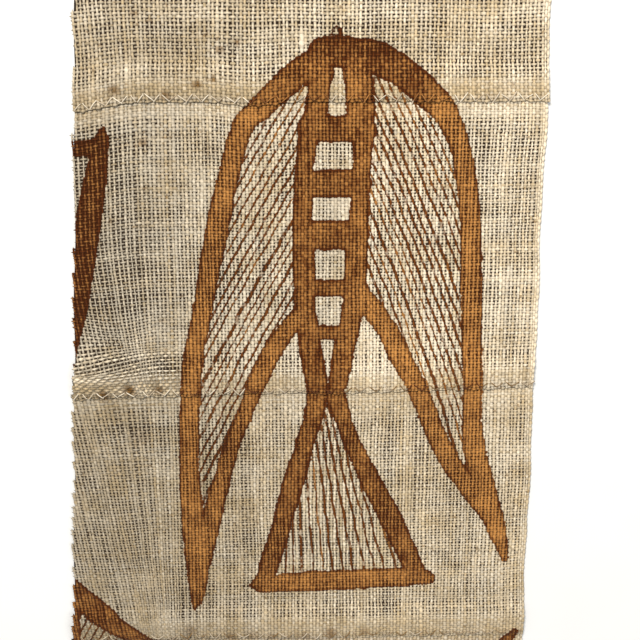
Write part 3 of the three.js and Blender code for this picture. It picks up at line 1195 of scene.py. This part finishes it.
def stitch_tree():
    """A tree that lays a row of stitch legs along a path, each turned the other way from the last."""
    tree = bpy.data.node_groups.new("Zigzag stitching", "GeometryNodeTree")
    tree.is_modifier = True
    tree.interface.new_socket("Geometry", in_out="OUTPUT", socket_type="NodeSocketGeometry")
    tree.interface.new_socket("Geometry", in_out="INPUT", socket_type="NodeSocketGeometry")
    for name in ("Stitch step", "Stitch height", "Thread radius", "Unevenness"):
        tree.interface.new_socket(name, in_out="INPUT", socket_type="NodeSocketFloat")
    tree.interface.new_socket("Seed", in_out="INPUT", socket_type="NodeSocketInt")
    tree.interface.new_socket("Thread", in_out="INPUT", socket_type="NodeSocketMaterial")
    given = tree.nodes.new("NodeGroupInput").outputs

    path = add(tree, "GeometryNodeMeshToCurve", {"Mesh": given["Geometry"]})
    evenly = {"Curve": path, "Length": given["Stitch step"]}
    path = add(tree, "GeometryNodeResampleCurve", evenly, mode="LENGTH")
    index = add(tree, "GeometryNodeInputIndex")
    odd = add(tree, "ShaderNodeMath", {0: index, 1: 2.0}, operation="MODULO")
    sign = add(tree, "ShaderNodeMath", {0: odd, 1: 2.0, 2: -1.0}, operation="MULTIPLY_ADD")
    slope = {0: given["Stitch step"], 1: given["Stitch height"]}
    angle = add(tree, "ShaderNodeMath", slope, operation="ARCTAN2")
    turned = add(tree, "ShaderNodeMath", {0: sign, 1: angle}, operation="MULTIPLY")
    low = add(tree, "ShaderNodeMath", {0: given["Unevenness"], 1: -1.0}, operation="MULTIPLY")
    loose = add(
        tree, "FunctionNodeRandomValue", {2: low, 3: given["Unevenness"], "Seed": given["Seed"]}, out=1,
        data_type="FLOAT",
    )
    turned = add(tree, "ShaderNodeMath", {0: turned, 1: loose}, operation="ADD")
    rotation = add(tree, "ShaderNodeCombineXYZ", {"Z": turned})
    long_leg = add(tree, "ShaderNodeMath", {0: loose, 1: 0.6, 2: 0.93}, operation="MULTIPLY_ADD")

    # One leg, from hole to hole: an arc that stands proud in the middle and dips at both ends
    squared = add(tree, "ShaderNodeMath", {0: given["Stitch step"], 1: 2.0}, operation="POWER")
    tall = add(tree, "ShaderNodeMath", {0: given["Stitch height"], 1: 2.0}, operation="POWER")
    reach = add(tree, "ShaderNodeMath", {0: squared, 1: tall}, operation="ADD")
    reach = add(tree, "ShaderNodeMath", {0: reach, 1: 0.5}, operation="POWER")
    far = add(tree, "ShaderNodeMath", {0: reach, 1: 0.52}, operation="MULTIPLY")
    near = add(tree, "ShaderNodeMath", {0: reach, 1: -0.52}, operation="MULTIPLY")
    sunk = add(tree, "ShaderNodeMath", {0: given["Thread radius"], 1: -3.0}, operation="MULTIPLY")
    proud = add(tree, "ShaderNodeMath", {0: given["Thread radius"], 1: 4.2}, operation="MULTIPLY")
    start = add(tree, "ShaderNodeCombineXYZ", {"Y": near, "Z": sunk})
    mid = add(tree, "ShaderNodeCombineXYZ", {"Z": proud})
    end = add(tree, "ShaderNodeCombineXYZ", {"Y": far, "Z": sunk})
    bow = {"Resolution": 7, "Start": start, "Middle": mid, "End": end}
    arc = add(tree, "GeometryNodeCurveQuadraticBezier", bow)
    round_thread = {"Resolution": 6, "Radius": given["Thread radius"]}
    section = add(tree, "GeometryNodeCurvePrimitiveCircle", round_thread)
    leg = add(tree, "GeometryNodeCurveToMesh", {"Curve": arc, "Profile Curve": section, "Fill Caps": True})
    row = add(
        tree, "GeometryNodeInstanceOnPoints",
        {"Points": path, "Instance": leg, "Rotation": rotation, "Scale": long_leg},
    )
    row = add(tree, "GeometryNodeRealizeInstances", {"Geometry": row})
    row = add(tree, "GeometryNodeSetShadeSmooth", {"Geometry": row})
    row = add(tree, "GeometryNodeSetMaterial", {"Geometry": row, "Material": given["Thread"]})
    add(tree, "NodeGroupOutput", {0: row})
    return tree


def run_nodes(piece, tree, values):
    """Runs a tree on a piece with its inputs set by identifier, and keeps the result as a plain mesh."""
    modifier = piece.modifiers.new(tree.name, "NODES")
    modifier.node_group = tree
    for item in tree.interface.items_tree:
        if item.in_out == "INPUT" and item.name in values:
            modifier[item.identifier] = values[item.name]
    evaluated = piece.evaluated_get(bpy.context.evaluated_depsgraph_get())
    mesh = bpy.data.meshes.new_from_object(evaluated)
    piece.modifiers.clear()
    piece.data = mesh
    return mesh


# Sizes and colours that a user would change


def length(name, description, value):
    """A length property whose default is given in millimetres."""
    return bpy.props.FloatProperty(name=name, description=description, default=value * MM, unit="LENGTH")


def spacing(name, description, *values):
    """A length for each strip, top strip first, whose defaults are given in millimetres."""
    return bpy.props.FloatVectorProperty(
        name=name, description=description, size=len(values), default=[value * MM for value in values],
        unit="LENGTH",
    )


class ClothSizes(bpy.types.PropertyGroup):
    """Sizes of the yarn and the stitching."""

    cross_pitch: spacing(
        "Cross thread spacing", "Spacing of the threads across each strip, top strip first",
        1.535, 1.4, 1.365, 1.365,
    )
    long_pitch: spacing(
        "Long thread spacing", "Spacing of the threads along each strip, top strip first",
        1.29, 1.2, 1.16, 1.16,
    )
    cross_width: length("Cross thread width", "Width of a thread that runs across the strips", 1.12)
    cross_thickness: length(
        "Cross thread thickness", "Thickness of a thread that runs across the strips", 0.54
    )
    long_width: length("Long thread width", "Width of a thread that runs along the strips", 0.82)
    long_thickness: length(
        "Long thread thickness", "Thickness of a thread that runs along the strips", 0.42
    )
    cross_crimp: length(
        "Cross thread crimp", "How far a cross thread rises and sinks as it goes over and under", 0.15
    )
    long_crimp: length(
        "Long thread crimp", "How far a long thread rises and sinks as it goes over and under", 0.27
    )
    ground_cell: length("Ground cell", "Mesh cell of the thin sheet inside the weave", 2.5)
    ground_thickness: length("Ground thickness", "Thickness of the thin sheet inside the weave", 0.12)
    stitch_step: length(
        "Stitch step", "Distance along the seam from one stitch hole to the next", ZIGZAG / 2
    )
    stitch_height: length("Stitch height", "Height of the zigzag across the seam", 2.7)
    sewing_radius: length("Sewing thread radius", "Radius of the zigzag's sewing thread", 0.21)
    stitch_unevenness: bpy.props.FloatProperty(
        name="Stitch unevenness", description="How far a stitch may turn from its even place",
        default=0.26, subtype="ANGLE",
    )


def picker(name, description, hex_value):
    """A colour property whose default is an sRGB hex value."""
    return bpy.props.FloatVectorProperty(
        name=name, description=description, size=4, default=linear(hex_value), subtype="COLOR", min=0, max=1
    )


class ClothColours(bpy.types.PropertyGroup):
    """Colours of the cotton, the dye, the sewing thread and the floor."""

    cream: picker("Cream", "Unbleached cotton, clean", "#F0E0C4")
    tan: picker("Tan", "Unbleached cotton, yellowed", "#D3BA90")
    fleck: picker("Fleck", "Seed flecks and old stains", "#8A6431")
    dye_thin: picker("Thin dye", "Dye where it dried thin", "#C68A48")
    dye_thick: picker("Thick dye", "Dye where it pooled", "#5A2A02")
    dye_line: picker("Line dye", "Dye of the fine lines", "#713E10")
    # Gap colours are painted shade: darkest in single-layer gaps, tan where a second layer shows, dark
    # brown in strokes
    behind_tan: picker("Backed gap", "Gaps that a second layer backs", "#A8906C")
    behind_dark: picker("Open gap", "Gaps of a single layer", "#2E2218")
    behind_dye: picker("Dyed gap", "Gaps inside a stroke", "#3A1A03")
    sewing: picker("Sewing thread", "Clean sewing cotton", "#F1E4CB")
    # Darker sewing thread: dust and painted shade
    sewing_dark: picker("Dusty, shaded sewing thread", "Sewing cotton with dust and painted shade", "#86683F")
    floor: picker("Floor", "Pale floor", "#F4F3F0")
    floor_low: picker("Floor, shaded", "Pale floor's mottle", "#EFEEEA")


# Operators


class CLOTH_OT_camera(bpy.types.Operator):
    """Place the camera above the cloth at the photograph's angle"""

    bl_idname = "cloth.camera"
    bl_label = "Camera"

    def execute(self, context):
        aim = Vector(CAMERA["aim"]) * MM
        tilt = math.radians(CAMERA["tilt"])
        distance = CAMERA["distance"] * MM
        data = bpy.data.cameras.new("camera")
        data.lens = CAMERA["lens"]
        data.sensor_width = CAMERA["sensor"]
        data.sensor_fit = "HORIZONTAL"
        data.clip_start = 0.01
        camera = bpy.data.objects.new("camera", data)
        camera.location = aim + distance * Vector((0, math.sin(tilt), math.cos(tilt)))
        camera.rotation_euler = (-tilt, 0, 0)
        context.scene.collection.objects.link(camera)
        context.scene.camera = camera
        return {"FINISHED"}


class CLOTH_OT_weave_strip(bpy.types.Operator):
    """Weave one strip of the cloth over its solid"""

    bl_idname = "cloth.weave_strip"
    bl_label = "Weave a strip"

    number: bpy.props.IntProperty(
        name="Number", description="Strip, counted from the top", default=1, min=1, max=4
    )

    def execute(self, context):
        k = self.number - 1
        name = STRIPS[k]["name"]
        sizes = context.scene.cloth_sizes
        cotton = shared_material(context, "Painted hand-spun cotton")
        inside = shared_material(context, "Painted shade inside the weave")
        ground = new_piece(f"{name}_ground", ground_mesh(f"{name}_ground", k, sizes), inside)
        finish_piece(ground, [name])
        for crosswise, word in ((True, "cross_threads"), (False, "long_threads")):
            threads = weave(k, crosswise, sizes)
            mesh = thread_mesh(f"{name}_{word}", threads, lambda x, y: middle_height(k, x, y))
            piece = new_piece(f"{name}_{word}", mesh, cotton)
            finish_piece(piece)
        return {"FINISHED"}


class CLOTH_OT_stitch_seam(bpy.types.Operator):
    """Sew the zigzag along one seam"""

    bl_idname = "cloth.stitch_seam"
    bl_label = "Stitch a seam"

    number: bpy.props.IntProperty(
        name="Number", description="Seam, counted from the top", default=1, min=1, max=3
    )

    def execute(self, context):
        k = self.number - 1
        sizes = context.scene.cloth_sizes
        step = sizes.stitch_step / MM
        start = left_edge(SEAMS[k]["y"]) + STITCH_START
        legs = int((RIGHT_EDGE - 1 - start) / step)
        x = start + step * legs * np.linspace(0, 1, 2 * legs + 1)
        y = seam_line(SEAMS[k], x) + STITCH_RISE
        y = y + STITCH_WANDER * soft_noise(x / 9, 0 * x, SEED + 80 + k)
        z = middle_height(k, x, y) + STITCH_STAND
        z = z + STITCH_STAND_CHANGE * soft_noise(x / 5, 0 * x, SEED + 84 + k)
        mesh = bpy.data.meshes.new(f"seam_{k + 1}_stitches")
        points = np.stack([x, y, z], axis=1) * MM
        mesh.from_pydata(points.tolist(), [(i, i + 1) for i in range(len(x) - 1)], [])
        sewing = shared_material(context, "Sewing cotton")
        piece = new_piece(mesh.name, mesh, sewing)
        tree = bpy.data.node_groups.get("Zigzag stitching") or stitch_tree()
        values = {
            "Stitch step": sizes.stitch_step,
            "Stitch height": sizes.stitch_height,
            "Thread radius": sizes.sewing_radius,
            "Unevenness": sizes.stitch_unevenness,
            "Seed": SEED + k,
            "Thread": sewing,
        }
        mesh = run_nodes(piece, tree, values)
        if not len(mesh.polygons):
            raise RuntimeError(f"seam {k + 1} got no stitches")
        co = np.zeros(len(mesh.vertices) * 3)
        mesh.vertices.foreach_get("co", co)
        co = co.reshape(-1, 3) / MM
        depth, _ = dye_fields(co[:, 0], co[:, 1])
        leg = ((co[:, 0] - start) / step + 0.5).astype(int)
        own = np.random.RandomState(SEED + 87 + k).uniform(-0.5, 0.5, legs + 3)[leg]
        # The sewing thread is darkened by dust and by painted shade, more on some legs than others
        left, right = SEWING[k]["soiled_left"], SEWING[k]["soiled_right"]
        dust_and_shade = left + (right - left) * smooth((co[:, 0] + 45) / 60)
        dust_and_shade = dust_and_shade + 0.7 * own + 0.2 * soft_noise(co[:, 0] / 7, 0 * co[:, 0], SEED + 90 + k)
        add_field(mesh, "dye", depth)
        add_field(mesh, "dust_and_shade", np.clip(dust_and_shade, 0, 1))
        finish_piece(piece)
        return {"FINISHED"}


class CLOTH_OT_stage(bpy.types.Operator):
    """Add the pale floor and the soft studio lights"""

    bl_idname = "cloth.stage"
    bl_label = "Stage"

    def execute(self, context):
        scene = context.scene
        mesh = bpy.data.meshes.new("floor")
        corners = [(x * FLOOR_HALF, y * FLOOR_HALF, 0) for x, y in ((-1, -1), (1, -1), (1, 1), (-1, 1))]
        mesh.from_pydata(corners, [], [(0, 1, 2, 3)])
        floor = new_piece("floor", mesh, shared_material(context, "Pale matt paint"))

        world = bpy.data.worlds.new("soft room")
        world.use_nodes = True
        background = world.node_tree.nodes["Background"]
        background.inputs["Color"].default_value = ROOM["colour"]
        background.inputs["Strength"].default_value = ROOM["strength"]
        scene.world = world

        for lamp in LAMPS:
            data = bpy.data.lights.new(lamp["name"], "AREA")
            data.shape = "DISK"
            data.size = lamp["size"]
            data.energy = lamp["power"]
            data.color = lamp["colour"]
            light = bpy.data.objects.new(lamp["name"], data)
            light.location = lamp["place"]
            light.rotation_euler = (-Vector(lamp["place"])).to_track_quat("-Z", "Y").to_euler()
            scene.collection.objects.link(light)
        scene.view_settings.view_transform = "Standard"
        return {"FINISHED"}


class CLOTH_PT_panel(bpy.types.Panel):
    """The cloth's sizes, colours and pieces"""

    bl_idname = "CLOTH_PT_panel"
    bl_label = "Korhogo cloth"
    bl_space_type = "VIEW_3D"
    bl_region_type = "UI"
    bl_category = "Cloth"

    def draw(self, context):
        for group in (context.scene.cloth_sizes, context.scene.cloth_colours):
            box = self.layout.box()
            for name in group.__annotations__:
                box.prop(group, name)
        for operator in OPERATORS:
            self.layout.operator(operator.bl_idname)


OPERATORS = (CLOTH_OT_camera, CLOTH_OT_weave_strip, CLOTH_OT_stitch_seam, CLOTH_OT_stage)
CLASSES = (ClothSizes, ClothColours, *OPERATORS, CLOTH_PT_panel)


def register():
    for cls in CLASSES:
        bpy.utils.register_class(cls)
    bpy.types.Scene.cloth_sizes = bpy.props.PointerProperty(type=ClothSizes)
    bpy.types.Scene.cloth_colours = bpy.props.PointerProperty(type=ClothColours)


def unregister():
    del bpy.types.Scene.cloth_colours
    del bpy.types.Scene.cloth_sizes
    for cls in reversed(CLASSES):
        bpy.utils.unregister_class(cls)


def main():
    register()
    bpy.ops.cloth.camera()
    for number in range(1, len(STRIPS) + 1):
        bpy.ops.cloth.weave_strip(number=number)
    for number in range(1, len(SEAMS) + 1):
        bpy.ops.cloth.stitch_seam(number=number)
    bpy.ops.cloth.stage()


if __name__ == "__main__":
    main()
